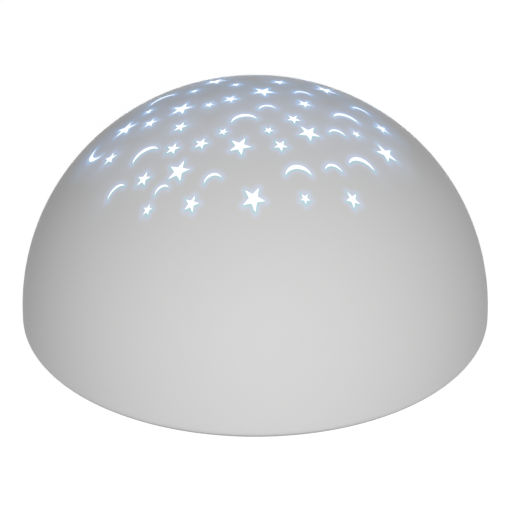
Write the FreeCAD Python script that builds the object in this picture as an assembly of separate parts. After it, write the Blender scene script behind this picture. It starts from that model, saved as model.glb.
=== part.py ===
import FreeCAD, Part
import math
import os

from FreeCAD import Vector

os.makedirs("parts", exist_ok=True)

# A star projecting night light: a white dome pierced with stars and moons on a low round base.
# Millimetres. The origin is on the floor, under the middle. The front is -Y and +Z is up.

# Dome
dome_radius = 75.0           # outside, at the widest ring
dome_rise = 73.9             # from the widest ring to the top
crown_angle = 51.0           # where the crown's arc meets the shoulder's arc, in degrees above level
dome_wall = 2.2
skirt_wall = 3.6             # wall of the straight skirt, at the widest ring
rim_curl_radius = 3.2        # the rim curls in under the widest ring
rim_curl_angle = 65.0
cut_start_height = 40.0      # the star cuts begin inside the dome at this height

# Screw bosses under the dome
boss_inset = 11.0            # from the dome's widest ring to the middle of a boss
boss_radius = 3.5
boss_length = 16.0
boss_web = 1.6
boss_count = 4

# Base plate
stand_height = 1.5           # feet lift the underside by this much
flange_thickness = 0.9
flange_step = 1.0            # the flange's edge lies this far inside the dome's edge
flange_round = 0.4
plate_thickness = 2.5
lip_clearance = 0.2
boss_pad_radius = 4.5
boss_pad_height = 2.0

# Screws of the base
base_screw_radius = 1.25
base_screw_head_radius = 2.8
base_screw_head_height = 1.5
base_screw_sink = 1.9        # depth of the recess for the head
base_screw_bite = 9.0        # depth of thread in the boss
screw_clearance = 0.05
head_clearance = 0.3
shank_clearance = 0.4

# Rubber feet
foot_inset = 15.0            # from the dome's widest ring to the middle of a foot
foot_radius = 6.0
foot_recess = 1.0
foot_round = 0.6
foot_clearance = 0.2

# AA cells
cell_radius = 7.1
cell_body_length = 49.3
cell_nub_radius = 2.75
cell_nub_length = 1.2
cell_edge_round = 0.6
cell_pitch = 15.0
cell_count = 3

# Battery box, moulded on the base plate
box_side_clearance = 0.5
spring_room = 4.5            # along each cell, for its pressed spring
box_wall = 1.6
cell_floor_gap = 0.8         # between the door and the cells
cell_roof_gap = 0.5
root_margin = 2.6            # thick root around the door's recess
root_height = 4.5

# Battery door
door_thickness = 2.0
door_clearance = 0.3
door_overlap = 1.6           # how far the door reaches under the box's walls
door_front_reach = 9.0       # of the screw tab, past the box's front wall
door_corner = 3.0
door_rib_height = 0.5
door_rib_width = 1.2
door_rib_pitch = 4.0
door_rib_count = 5
barrel_radius = 2.4
barrel_gap = 0.6             # between the box's back wall and the hinge barrel
hinge_pin_radius = 1.2
hinge_pin_length = 2.2
hinge_running_clearance = 0.05
hinge_ear = 3.0              # of material outside the pins' ends

# Screw of the battery door
door_screw_radius = 1.25
door_screw_head_radius = 2.75
door_screw_head_height = 1.4
door_screw_tail = 0.5        # of the screw past its nut
door_screw_inset = 4.5       # from the door's front edge
door_pad_radius = 5.0
door_pad_height = 1.0
clip_radius = 3.0
clip_thickness = 0.6
clip_play = 0.1
nut_bore_clearance = 0.25
nut_across_flats = 5.5
nut_height = 2.4
nut_ledge = 1.2
nut_boss_radius = 5.2
clip_room = 1.0

# Battery contacts and springs
contact_thickness = 0.4
contact_width = 11.0
contact_height = 12.0
contact_dimple_radius = 2.2
contact_dimple_height = 0.6
contact_tab_width = 3.0
contact_tab_rise = 3.6       # above the box's roof
contact_slot_clearance = 0.2
spring_wire = 0.7
spring_base_radius = 4.0
spring_tip_radius = 2.8
spring_turns = 3
spring_seat_gap = 0.05

# Circuit board
board_length = 44.0
board_width = 32.0
board_thickness = 1.6
board_corner = 2.0
standoff_height = 4.0
standoff_radius = 2.4
standoff_inset = 3.5
board_screw_radius = 1.0
board_screw_head_radius = 1.9
board_screw_head_height = 1.2
board_screw_bite = 4.0

# Lamp
led_radius = 2.5
led_flange_radius = 2.9
led_flange_height = 1.0
led_body_height = 4.0
led_spacer_height = 2.8
led_spacer_radius = 2.8
led_spacer_bore = 2.2
led_lead_size = 0.5
led_lead_pitch = 1.0
led_lead_count = 4
led_lead_tail = 1.0          # below the board
lead_hole_clearance = 0.1

# Parts on the board
chip_length = 5.0
chip_width = 4.0
chip_height = 1.5
chip_leg_pitch = 1.27
chip_leg_width = 0.4
chip_leg_reach = 1.0
chip_leg_height = 0.7
chip_x = 10.0
chip_y = 7.0
capacitor_radius = 2.5
capacitor_height = 5.2
capacitor_x = -11.0
capacitor_y = 6.0
resistor_length = 2.0
resistor_width = 1.25
resistor_height = 0.5
resistor_pitch = 2.6
resistor_count = 4
resistor_x = -6.0
resistor_y = -9.0

# Light deck, a white disc around the lamp
deck_inset = 15.0            # of the deck's edge from the dome's widest ring
deck_thickness = 1.5
deck_lamp_height = 2.5       # of the lamp above the deck
deck_skirt_height = 5.0
deck_skirt_wall = 1.5
deck_lamp_clearance = 0.3
post_radius = 3.5
post_x = 38.0
post_y = 22.0
deck_screw_radius = 1.0
deck_screw_head_radius = 2.2
deck_screw_head_height = 1.4
deck_screw_bite = 8.0

# Slide switch on the underside
switch_x = 41.0
switch_travel = 2.0          # each way from the middle position
knob_width = 3.4
knob_length = 4.6
knob_sink = 0.3              # of the knob past the underside
knob_flange_width = 7.0
knob_flange_margin = 4.7     # of the flange past the knob, each way
knob_flange_thickness = 1.0
knob_float = 0.2             # under the flange
knob_clearance = 0.2
knob_boss_size = 4.4
knob_boss_height = 1.4
knob_groove = 0.3
switch_recess_depth = 1.0
switch_recess_margin = 2.6
can_width = 9.0
can_length = 15.0
can_height = 5.0
can_wall = 0.5
can_ear = 7.5
switch_standoff_radius = 2.2
switch_standoff_height = 3.0
switch_standoff_reach = 12.5
switch_screw_radius = 1.0
switch_screw_head_radius = 1.9
switch_screw_head_height = 1.2
switch_screw_bite = 4.0
slider_size = 6.0
slider_height = 2.2
slider_gap = 0.1
stem_size = 2.4
stem_clearance = 0.1
stem_depth = 2.2             # of the stem in the knob
insulator_thickness = 1.0
terminal_pitch = 3.0
terminal_width = 1.4
terminal_thickness = 0.5
terminal_rise = 3.0
terminal_count = 3

# Wires
wire_radius = 0.6
wire_lift = 2.2              # of a wire's run over the board's top
wire_bend_share = 0.45
battery_wire_landing = 3.0   # from the board's edge
switch_wire_landing = 3.5
battery_wire_reach = 6.0

# Cut-outs, seen from above. Every star has a point turned to the same side.
star_turn = -9.0
star_points = 5
star_waist = 0.38            # radius of the inner corners over the radius of the points
large_star = 3.45
medium_star = 2.25
small_star = 1.55
moon_turn = 100.0            # direction in which a moon bulges, in degrees
large_moon_chord = 7.9
large_moon_bulge = 3.3
large_moon_width = 1.3
medium_moon_chord = 5.2
medium_moon_bulge = 2.3
medium_moon_width = 0.8
small_moon_chord = 4.2
small_moon_bulge = 1.9
small_moon_width = 0.7

large_stars = [
    (-12.5, 16.5), (22.0, 13.5), (2.5, 2.0), (-22.5, -3.5), (-40.0, -1.0), (16.0, -19.5),
    (-4.5, -27.0), (39.5, -15.5), (-22.5, -32.0), (-0.5, -44.0), (38.0, 25.0), (-41.0, 26.0),
    (4.5, 34.0), (-22.5, 31.5), (-9.0, 44.5),
]
medium_stars = [
    (7.5, 12.5), (-7.5, -3.0), (15.0, -4.0), (11.5, -14.0), (-32.0, -5.5), (-22.5, -14.0),
    (39.0, -2.0), (-16.0, -24.0), (7.5, -26.5), (-24.5, -23.0), (-44.0, -13.5), (-33.0, -30.0),
    (28.5, -38.5), (-18.5, -43.0), (0.5, 28.5), (16.5, 27.5), (-14.0, 28.0), (15.5, 42.0),
    (-22.0, 41.5),
]
small_stars = [
    (-6.0, 9.0), (-19.0, 9.0), (-14.0, -5.0), (-33.0, 4.0), (4.0, -20.5), (-9.5, -20.5),
    (30.5, -13.0), (14.5, -42.5), (-31.5, -40.0), (11.0, 29.5), (-17.5, 37.5), (-32.0, 33.0),
    (26.0, 37.0), (4.0, 46.5),
]
large_moons = [
    (-29.0, 11.5), (27.5, -6.0), (-3.5, -15.0), (-33.0, -20.5), (31.5, -25.5), (12.5, -35.0),
    (22.0, 31.0), (-6.0, 36.0),
]
medium_moons = [
    (14.5, 4.0), (3.5, -9.0), (32.5, 4.5), (24.5, -16.0), (23.0, -31.0), (-12.5, -37.0),
    (-41.5, -28.5), (-7.0, 27.5), (38.5, 32.0), (-34.0, 36.5), (26.5, 43.0),
]
small_moons = [(-27.5, -36.0)]
turned_moons = [(-49.0, -5.0, 197.0)]

# Heights and radii that follow from the sizes above
boss_circle = dome_radius - boss_inset
foot_circle = dome_radius - foot_inset
deck_radius = dome_radius - deck_inset
seam_height = stand_height + flange_thickness
plate_top = stand_height + plate_thickness
curl_turn = math.radians(rim_curl_angle)
widest_height = seam_height + rim_curl_radius * math.sin(curl_turn)
edge_radius = dome_radius - rim_curl_radius * (1.0 - math.cos(curl_turn))
skirt_radius = dome_radius - skirt_wall
lip_radius = skirt_radius - lip_clearance
flange_radius = edge_radius - flange_step
pad_top = plate_top + boss_pad_height

door_top = stand_height + door_thickness
cell_axis_height = door_top + cell_floor_gap + cell_radius
box_ceiling = cell_axis_height + cell_radius + cell_roof_gap
roof_top = box_ceiling + box_wall
box_half_width = (cell_count - 1) * cell_pitch / 2.0 + cell_radius + box_side_clearance
cell_length = cell_body_length + cell_nub_length
box_half_length = contact_thickness + (contact_dimple_height + cell_length + spring_room) / 2.0
root_top = stand_height + root_height

door_half_width = box_half_width + door_overlap
door_front = -(box_half_length + box_wall + door_front_reach)
hinge_y = box_half_length + box_wall + barrel_gap + barrel_radius
hinge_height = stand_height + barrel_radius
barrel_room = barrel_radius + door_clearance
hinge_top = hinge_height + barrel_room + box_wall

door_screw_y = door_front + door_screw_inset
door_pad_top = door_top + door_pad_height
clip_bottom = door_pad_top + clip_play
ledge_bottom = clip_bottom + clip_thickness + clip_room
nut_bottom = ledge_bottom + nut_ledge
nut_top = nut_bottom + nut_height

back_contact_face = box_half_length - contact_thickness
tab_top = roof_top + contact_tab_rise

standoff_top = roof_top + standoff_height
board_top = standoff_top + board_thickness
lamp_seat = board_top + led_spacer_height
lamp_top = lamp_seat + led_flange_height + led_body_height + led_radius
deck_top = lamp_top - deck_lamp_height
deck_bottom = deck_top - deck_thickness
wire_run_height = board_top + wire_lift

can_bottom = plate_top + switch_standoff_height
can_top = can_bottom + can_height
slider_bottom = can_bottom + can_wall + slider_gap
flange_bottom = plate_top + knob_float
knob_bottom = stand_height - knob_sink
knob_boss_top = flange_bottom + knob_flange_thickness + knob_boss_height
slot_half_length = knob_length / 2.0 + switch_travel + knob_clearance
terminal_top = can_top + terminal_rise


def box(x_low, x_high, y_low, y_high, z_low, z_high):
    return Part.makeBox(x_high - x_low, y_high - y_low, z_high - z_low, Vector(x_low, y_low, z_low))


def centred_box(x, y, width, length, z_low, z_high):
    return box(x - width / 2, x + width / 2, y - length / 2, y + length / 2, z_low, z_high)


def post(x, y, radius, z_low, z_high):
    return Part.makeCylinder(radius, z_high - z_low, Vector(x, y, z_low))


def rounded_plate(width, length, corner, z_low, z_high, x=0.0, y=0.0):
    plate = centred_box(x, y, width, length, z_low, z_high)
    upright = [e for e in plate.Edges if abs(e.Vertexes[0].Z - e.Vertexes[-1].Z) > 1e-6]
    return plate.makeFillet(corner, upright)


def around(radius, count, first_angle):
    """The places of a ring of equal things."""
    step = 360.0 / count
    angles = [math.radians(first_angle + step * k) for k in range(count)]
    return [(radius * math.cos(a), radius * math.sin(a)) for a in angles]


def revolved(edges):
    face = Part.Face(Part.Wire(edges))
    return face.revolve(Vector(0, 0, 0), Vector(0, 0, 1), 360.0)


def arc_about(centre_x, centre_z, radius, first_angle, last_angle):
    """An arc in the XZ plane, angles in degrees above level."""
    points = []
    for angle in (first_angle, (first_angle + last_angle) / 2.0, last_angle):
        turn = math.radians(angle)
        points.append(Vector(centre_x + radius * math.cos(turn), 0, centre_z + radius * math.sin(turn)))
    return Part.Arc(*points).toShape()


def line(x1, z1, x2, z2):
    return Part.LineSegment(Vector(x1, 0, z1), Vector(x2, 0, z2)).toShape()


def only_solid(shape):
    """The one solid that a boolean leaves, cleaned of split faces."""
    cleaned = shape.removeSplitter()
    if len(cleaned.Solids) == 1:
        return cleaned.Solids[0]
    return cleaned


# The dome's outline is two arcs with one tangent where they meet.
crown_turn = math.radians(crown_angle)
crown_sin = math.sin(crown_turn)
crown_cos = math.cos(crown_turn)
spread = (1.0 - crown_sin) / crown_cos
shoulder_radius = (dome_rise - dome_radius * spread) / (crown_sin - spread * (1.0 - crown_cos))
crown_radius = (dome_radius - shoulder_radius * (1.0 - crown_cos)) / crown_cos
shoulder_x = dome_radius - shoulder_radius
crown_z = widest_height + dome_rise - crown_radius


def dome_outer_solid():
    top = crown_z + crown_radius
    edges = [
        line(0, seam_height, edge_radius, seam_height),
        arc_about(dome_radius - rim_curl_radius, widest_height, rim_curl_radius, -rim_curl_angle, 0),
        arc_about(shoulder_x, widest_height, shoulder_radius, 0, crown_angle),
        arc_about(0, crown_z, crown_radius, crown_angle, 90),
        line(0, top, 0, seam_height),
    ]
    return revolved(edges)


def dome_inner_solid():
    inner_shoulder = shoulder_radius - dome_wall
    inner_crown = crown_radius - dome_wall
    skirt_angle = math.degrees(math.acos((skirt_radius - shoulder_x) / inner_shoulder))
    skirt_top = widest_height + inner_shoulder * math.sin(math.radians(skirt_angle))
    edges = [
        line(0, seam_height, skirt_radius, seam_height),
        line(skirt_radius, seam_height, skirt_radius, skirt_top),
        arc_about(shoulder_x, widest_height, inner_shoulder, skirt_angle, crown_angle),
        arc_about(0, crown_z, inner_crown, crown_angle, 90),
        line(0, crown_z + inner_crown, 0, seam_height),
    ]
    return revolved(edges)


def prism(edges):
    face = Part.Face(Part.Wire(edges))
    return face.extrude(Vector(0, 0, dome_rise + widest_height))


def star_cutter(x, y, size):
    points = []
    for k in range(2 * star_points):
        radius = size if k % 2 == 0 else size * star_waist
        turn = math.radians(star_turn + k * 180.0 / star_points)
        points.append(Vector(x + radius * math.cos(turn), y + radius * math.sin(turn), cut_start_height))
    corners = points + points[:1]
    return prism([Part.LineSegment(a, b).toShape() for a, b in zip(corners, corners[1:])])


def moon_cutter(x, y, chord, bulge, width, turn=moon_turn):
    """A moon whose two arcs share their tips. Its middle lies at x, y."""
    out = Vector(math.cos(math.radians(turn)), math.sin(math.radians(turn)), 0)
    side = Vector(-out.y, out.x, 0)
    middle = Vector(x, y, cut_start_height) - out * ((bulge - width) / 2.0)
    tip_1 = middle + side * (chord / 2.0)
    tip_2 = middle - side * (chord / 2.0)
    outer = Part.Arc(tip_1, middle + out * bulge, tip_2).toShape()
    inner = Part.Arc(tip_2, middle + out * (bulge - width), tip_1).toShape()
    return prism([outer, inner])


def night_sky_cutters():
    cutters = []
    for places, size in ((large_stars, large_star), (medium_stars, medium_star), (small_stars, small_star)):
        for x, y in places:
            cutters.append(star_cutter(x, y, size))
    for x, y in large_moons:
        cutters.append(moon_cutter(x, y, large_moon_chord, large_moon_bulge, large_moon_width))
    for x, y in medium_moons:
        cutters.append(moon_cutter(x, y, medium_moon_chord, medium_moon_bulge, medium_moon_width))
    for x, y in small_moons:
        cutters.append(moon_cutter(x, y, small_moon_chord, small_moon_bulge, small_moon_width))
    for x, y, turn in turned_moons:
        cutters.append(moon_cutter(x, y, large_moon_chord, large_moon_bulge, large_moon_width, turn))
    return cutters


boss_places = around(boss_circle, boss_count, 45.0)
foot_places = around(foot_circle, 4, 0.0)


def dome_boss(x, y, outer):
    """A boss hung from the dome's wall by a web."""
    angle = math.degrees(math.atan2(y, x))
    boss_top = pad_top + boss_length
    pillar = post(x, y, boss_radius, pad_top, boss_top)
    web = box(boss_circle, dome_radius, -boss_web / 2, boss_web / 2, pad_top, boss_top)
    web.rotate(Vector(0, 0, 0), Vector(0, 0, 1), angle)
    return pillar.fuse(web).common(outer)


def dome_shell():
    outer = dome_outer_solid()
    shell = outer.cut(dome_inner_solid())
    shell = shell.fuse([dome_boss(x, y, outer) for x, y in boss_places])
    pilot = base_screw_radius + screw_clearance
    pilots = [post(x, y, pilot, pad_top, pad_top + base_screw_bite + 1.0) for x, y in boss_places]
    shell = only_solid(shell.cut(pilots))
    return only_solid(shell.cut(night_sky_cutters()))


def base_disc():
    low = stand_height
    edges = [
        line(0, low, flange_radius - flange_round, low),
        arc_about(flange_radius - flange_round, low + flange_round, flange_round, -90, 0),
        line(flange_radius, low + flange_round, flange_radius, seam_height),
        line(flange_radius, seam_height, lip_radius, seam_height),
        line(lip_radius, seam_height, lip_radius, plate_top),
        line(lip_radius, plate_top, 0, plate_top),
        line(0, plate_top, 0, low),
    ]
    return revolved(edges)


def battery_box_outside():
    wall = box_wall
    tower = box(
        -box_half_width - wall, box_half_width + wall,
        -box_half_length - wall, box_half_length + wall, stand_height, roof_top)
    root_half_width = door_half_width + door_clearance + root_margin
    root = box(
        -root_half_width, root_half_width,
        door_front - door_clearance - root_margin, hinge_y + barrel_room + root_margin, stand_height, root_top)
    ear_half_width = door_half_width + hinge_pin_length + hinge_ear
    hinge_block = box(
        -ear_half_width, ear_half_width,
        box_half_length, hinge_y + barrel_room + root_margin, stand_height, hinge_top)
    nut_boss = post(0, door_screw_y, nut_boss_radius, stand_height, nut_top)
    return [tower, root, hinge_block, nut_boss]


def door_recess():
    """Everything that the door, its hinge and its screw need cut from the base."""
    half = door_half_width + door_clearance
    front = door_front - door_clearance
    panel = box(-half, half, front, hinge_y, stand_height, door_top)
    barrel = Part.makeCylinder(barrel_room, 2 * half, Vector(-half, hinge_y, hinge_height), Vector(1, 0, 0))
    barrel_mouth = box(-half, half, hinge_y - barrel_room, hinge_y + barrel_room, stand_height, hinge_height)
    pin_reach = door_half_width + hinge_pin_length + door_clearance
    pins = Part.makeCylinder(
        hinge_pin_radius + hinge_running_clearance, 2 * pin_reach,
        Vector(-pin_reach, hinge_y, hinge_height), Vector(1, 0, 0))
    pad = post(0, door_screw_y, door_pad_radius + door_clearance, stand_height, door_pad_top + door_clearance)
    clip = post(0, door_screw_y, clip_radius + head_clearance, stand_height, ledge_bottom)
    shank = post(0, door_screw_y, door_screw_radius + shank_clearance, stand_height, nut_top)
    return [panel, barrel, barrel_mouth, pins, pad, clip, shank, nut_prism(door_clearance / 3)]


def nut_prism(clearance=0.0):
    corner = (nut_across_flats / 2.0 + clearance) / math.cos(math.pi / 6)
    points = [Vector(x, y + door_screw_y, nut_bottom) for x, y in around(corner, 6, 0.0)]
    face = Part.Face(Part.makePolygon(points + points[:1]))
    return face.extrude(Vector(0, 0, nut_height))


def tab_slots():
    """Slots in the box's roof for the two contacts that carry a wire."""
    width = contact_tab_width + 2 * contact_slot_clearance
    depth = contact_thickness + contact_slot_clearance
    slots = []
    for x, wall_y, inward in ((-cell_pitch, -box_half_length, 1), (cell_pitch, box_half_length, -1)):
        y = wall_y + inward * depth / 2.0
        slots.append(centred_box(x, y, width, depth, box_ceiling, roof_top))
    return slots


def standoff_places():
    x = board_length / 2.0 - standoff_inset
    y = board_width / 2.0 - standoff_inset
    return [(-x, -y), (x, -y), (x, y), (-x, y)]


def post_places():
    return [(-post_x, -post_y), (post_x, -post_y), (post_x, post_y), (-post_x, post_y)]


def switch_standoff_places():
    return [(switch_x, -switch_standoff_reach), (switch_x, switch_standoff_reach)]


def base_plate():
    pads = [post(x, y, boss_pad_radius, stand_height, pad_top) for x, y in boss_places]
    standoffs = [post(x, y, standoff_radius, box_ceiling, standoff_top) for x, y in standoff_places()]
    posts = [post(x, y, post_radius, stand_height, deck_bottom) for x, y in post_places()]
    switch_posts = [post(x, y, switch_standoff_radius, stand_height, can_bottom)
                    for x, y in switch_standoff_places()]
    plate = base_disc().fuse(battery_box_outside() + pads + standoffs + posts + switch_posts)

    cavity = box(
        -box_half_width, box_half_width, -box_half_length, box_half_length, stand_height, box_ceiling)
    cuts = [cavity] + door_recess() + tab_slots()
    for x, y in boss_places:
        cuts.append(post(x, y, base_screw_head_radius + head_clearance, 0, stand_height + base_screw_sink))
        cuts.append(post(x, y, base_screw_radius + shank_clearance, 0, pad_top))
    for x, y in foot_places:
        cuts.append(post(x, y, foot_radius + foot_clearance, 0, stand_height + foot_recess))
    for x, y in standoff_places():
        pilot = board_screw_radius + screw_clearance
        cuts.append(post(x, y, pilot, standoff_top - board_screw_bite - 0.3, standoff_top))
    for x, y in post_places():
        pilot = deck_screw_radius + screw_clearance
        cuts.append(post(x, y, pilot, deck_bottom - deck_screw_bite - 0.5, deck_bottom))
    for x, y in switch_standoff_places():
        pilot = switch_screw_radius + screw_clearance
        cuts.append(post(x, y, pilot, can_bottom - switch_screw_bite - 0.3, can_bottom))
    cuts.append(centred_box(
        switch_x, 0, knob_width + 2 * knob_clearance, 2 * slot_half_length, 0, plate_top))
    cuts.append(centred_box(
        switch_x, 0, knob_width + 2 * switch_recess_margin, 2 * (slot_half_length + switch_recess_margin),
        0, stand_height + switch_recess_depth))
    return only_solid(plate.cut(cuts))


def screw(x, y, seat, head_radius, head_height, radius, length, up=1):
    """A round head screw. Its head starts at the seat and its shank runs the other way."""
    direction = Vector(0, 0, up)
    head = Part.makeCylinder(head_radius, head_height, Vector(x, y, seat), direction)
    top_edge = [e for e in head.Edges if abs(e.BoundBox.Center.z - (seat + up * head_height)) < 1e-6]
    head = head.makeFillet(head_height * 0.4, top_edge[:1])
    shank = Part.makeCylinder(radius, length, Vector(x, y, seat), direction * -1)
    drive = head_radius * 1.2
    depth = head_height * 0.5
    top = seat + up * head_height
    low = min(top, top - up * depth)
    slots = [centred_box(x, y, drive, radius * 0.5, low, low + depth),
             centred_box(x, y, radius * 0.5, drive, low, low + depth)]
    return only_solid(head.fuse(shank).cut(slots))


def base_screws():
    seat = stand_height + base_screw_sink
    length = pad_top + base_screw_bite - seat
    return Part.makeCompound([
        screw(x, y, seat, base_screw_head_radius, base_screw_head_height, base_screw_radius, length, up=-1)
        for x, y in boss_places])


def rubber_foot(x, y):
    foot = post(x, y, foot_radius, 0, stand_height + foot_recess)
    tread = [e for e in foot.Edges if e.BoundBox.ZMax < 1e-6]
    return foot.makeFillet(foot_round, tread)


def battery_door():
    half = door_half_width
    back = hinge_y
    panel = rounded_plate(2 * half, back - door_front, door_corner, stand_height, door_top,
                          0, (back + door_front) / 2.0)
    square_back = box(-half, half, 0, back, stand_height, door_top)
    barrel = Part.makeCylinder(barrel_radius, 2 * half, Vector(-half, hinge_y, hinge_height), Vector(1, 0, 0))
    reach = half + hinge_pin_length
    pins = Part.makeCylinder(hinge_pin_radius, 2 * reach, Vector(-reach, hinge_y, hinge_height), Vector(1, 0, 0))
    pad = post(0, door_screw_y, door_pad_radius, stand_height, door_pad_top)
    door = panel.fuse([square_back, barrel, pins, pad])
    head_room = post(0, door_screw_y, door_screw_head_radius + head_clearance,
                     0, stand_height + door_screw_head_height + 0.2)
    hole = post(0, door_screw_y, door_screw_radius + shank_clearance, 0, door_pad_top)
    grips = []
    for k in range(door_rib_count):
        y = door_front + door_front_reach + (k + 1) * door_rib_pitch
        grips.append(centred_box(0, y, half, door_rib_width, 0, stand_height + door_rib_height))
    return only_solid(door.cut([head_room, hole] + grips))


def door_screw():
    seat = stand_height + door_screw_head_height + 0.2
    length = nut_top + door_screw_tail - seat
    return screw(0, door_screw_y, seat, door_screw_head_radius, door_screw_head_height,
                 door_screw_radius, length, up=-1)


def ring(y, outer, inner, z_low, z_high):
    return post(0, y, outer, z_low, z_high).cut(post(0, y, inner, z_low, z_high))


def door_screw_clip():
    return ring(door_screw_y, clip_radius, door_screw_radius, clip_bottom, clip_bottom + clip_thickness)


def door_screw_nut():
    bore = post(0, door_screw_y, door_screw_radius + nut_bore_clearance, nut_bottom, nut_top)
    return nut_prism().cut(bore)


def facing(number):
    """Which way a cell's plus end points along Y. The cells alternate."""
    return 1 if number % 2 == 0 else -1


def cell_x(number):
    return (number - (cell_count - 1) / 2.0) * cell_pitch


def cell_minus_end(number):
    """Y of a cell's flat end. Its nub touches the contact's dimple."""
    return facing(number) * (back_contact_face - contact_dimple_height - cell_length)


def aa_cell(number):
    way = Vector(0, facing(number), 0)
    start = Vector(cell_x(number), cell_minus_end(number), cell_axis_height)
    body = Part.makeCylinder(cell_radius, cell_body_length, start, way)
    rims = [e for e in body.Edges if e.BoundBox.YLength < 1e-6]
    body = body.makeFillet(cell_edge_round, rims)
    nub = Part.makeCylinder(cell_nub_radius, cell_nub_length, start + way * cell_body_length, way)
    return only_solid(body.fuse(nub))


def contact_blade(x, side):
    """A plate flat on an end wall. Side is -1 at the front and 1 at the back."""
    y_wall = side * box_half_length
    y_face = y_wall - side * contact_thickness
    low = cell_axis_height - contact_height / 2.0
    return box(x - contact_width / 2, x + contact_width / 2, min(y_wall, y_face), max(y_wall, y_face),
               low, low + contact_height)


def dimple(x, side):
    face = side * back_contact_face
    return Part.makeCylinder(
        contact_dimple_radius, contact_dimple_height, Vector(x, face, cell_axis_height), Vector(0, -side, 0))


def solder_tab(x, side):
    y_wall = side * box_half_length
    y_face = y_wall - side * contact_thickness
    return box(x - contact_tab_width / 2, x + contact_tab_width / 2, min(y_wall, y_face), max(y_wall, y_face),
               cell_axis_height, tab_top)


def bridge(x_1, x_2, side):
    """Joins the blades of two cells."""
    y_wall = side * box_half_length
    y_face = y_wall - side * contact_thickness
    half = contact_height / 4.0
    return box(x_1, x_2, min(y_wall, y_face), max(y_wall, y_face),
               cell_axis_height - half, cell_axis_height + half)


def contact_negative():
    x = cell_x(0)
    return only_solid(contact_blade(x, -1).fuse(solder_tab(x, -1)))


def contact_positive():
    x = cell_x(2)
    return only_solid(contact_blade(x, 1).fuse([solder_tab(x, 1), dimple(x, 1)]))


def contact_bridge_front():
    blades = [contact_blade(cell_x(2), -1), bridge(cell_x(1), cell_x(2), -1), dimple(cell_x(1), -1)]
    return only_solid(contact_blade(cell_x(1), -1).fuse(blades))


def contact_bridge_back():
    blades = [contact_blade(cell_x(1), 1), bridge(cell_x(0), cell_x(1), 1), dimple(cell_x(0), 1)]
    return only_solid(contact_blade(cell_x(0), 1).fuse(blades))


def arc_from_tangent(start, tangent, end):
    """The arc that leaves start along tangent and reaches end."""
    chord = end - start
    length = chord.Length
    along = chord * (1.0 / length)
    across = tangent - along * tangent.dot(along)
    lean = math.atan2(across.Length, tangent.dot(along))
    across.normalize()
    crest = start + chord * 0.5 + across * (length / 2.0 * math.tan(lean / 2.0))
    return Part.Arc(start, crest, end).toShape()


def biarc(start, start_tangent, end, end_tangent):
    """Two arcs that join two points along their tangents."""
    gap = end - start
    total = start_tangent + end_tangent
    a = 2.0 * (1.0 - start_tangent.dot(end_tangent))
    b = 2.0 * gap.dot(total)
    reach = (-b + math.sqrt(b * b + 4.0 * a * gap.dot(gap))) / (2.0 * a)
    joint = (start + end + (start_tangent - end_tangent) * reach) * 0.5
    heading = joint - (start + start_tangent * reach)
    heading.normalize()
    return [arc_from_tangent(start, start_tangent, joint), arc_from_tangent(joint, heading, end)]


def spring_line(number):
    """Points and headings of a spring's wire, four to the turn."""
    side = -facing(number)
    seat = side * (back_contact_face - spring_seat_gap - spring_wire / 2.0)
    tip = cell_minus_end(number) + side * (spring_seat_gap + spring_wire / 2.0)
    x = cell_x(number)
    steps = 4 * spring_turns
    turn_step = math.pi / 2.0
    points = []
    headings = []
    for k in range(steps + 1):
        share = k / steps
        radius = spring_base_radius + (spring_tip_radius - spring_base_radius) * share
        turn = k * turn_step
        points.append(Vector(x + radius * math.cos(turn), seat + (tip - seat) * share,
                             cell_axis_height + radius * math.sin(turn)))
        heading = Vector(-radius * math.sin(turn), (tip - seat) / (steps * turn_step), radius * math.cos(turn))
        heading += Vector(math.cos(turn), 0, math.sin(turn)) * (
            (spring_tip_radius - spring_base_radius) / (steps * turn_step))
        heading.normalize()
        headings.append(heading)
    return points, headings


def battery_spring(number):
    points, headings = spring_line(number)
    edges = []
    for k in range(len(points) - 1):
        edges += biarc(points[k], headings[k], points[k + 1], headings[k + 1])
    section = Part.Wire([Part.Circle(points[0], headings[0], spring_wire / 2.0).toShape()])
    return Part.Wire(edges).makePipeShell([section], True, False)


def spring_gap(number):
    """The least gap between one turn of a spring and the next."""
    points, headings = spring_line(number)
    least = min((points[k + 4] - points[k]).Length for k in range(len(points) - 4))
    return least - spring_wire


def circuit_board():
    board = rounded_plate(board_length, board_width, board_corner, standoff_top, board_top)
    holes = [post(x, y, board_screw_radius + shank_clearance / 2, standoff_top, board_top)
             for x, y in standoff_places()]
    hole_size = led_lead_size + 2 * lead_hole_clearance
    holes += [centred_box(x, 0, hole_size, hole_size, standoff_top, board_top) for x in led_lead_places()]
    return board.cut(holes)


def board_screws():
    return Part.makeCompound([
        screw(x, y, board_top, board_screw_head_radius, board_screw_head_height, board_screw_radius,
              board_thickness + board_screw_bite)
        for x, y in standoff_places()])


def led_lead_places():
    middle = (led_lead_count - 1) / 2.0
    return [(k - middle) * led_lead_pitch for k in range(led_lead_count)]


def led_lamp():
    """A clear round-topped lamp body with a flange."""
    body_top = lamp_seat + led_flange_height + led_body_height
    flange = post(0, 0, led_flange_radius, lamp_seat, lamp_seat + led_flange_height)
    body = post(0, 0, led_radius, lamp_seat, body_top)
    top = Part.makeSphere(led_radius, Vector(0, 0, body_top))
    return only_solid(body.fuse([flange, top]))


def led_leads():
    low = standoff_top - led_lead_tail
    return Part.makeCompound([
        centred_box(x, 0, led_lead_size, led_lead_size, low, lamp_seat) for x in led_lead_places()])


def led_spacer():
    return ring(0, led_spacer_radius, led_spacer_bore, board_top, lamp_seat)


def control_chip():
    body = centred_box(chip_x, chip_y, chip_length, chip_width, board_top, board_top + chip_height)
    legs = []
    for k in range(4):
        x = chip_x + (k - 1.5) * chip_leg_pitch
        legs.append(centred_box(x, chip_y, chip_leg_width, chip_width + 2 * chip_leg_reach,
                                board_top, board_top + chip_leg_height))
    return only_solid(body.fuse(legs))


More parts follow.
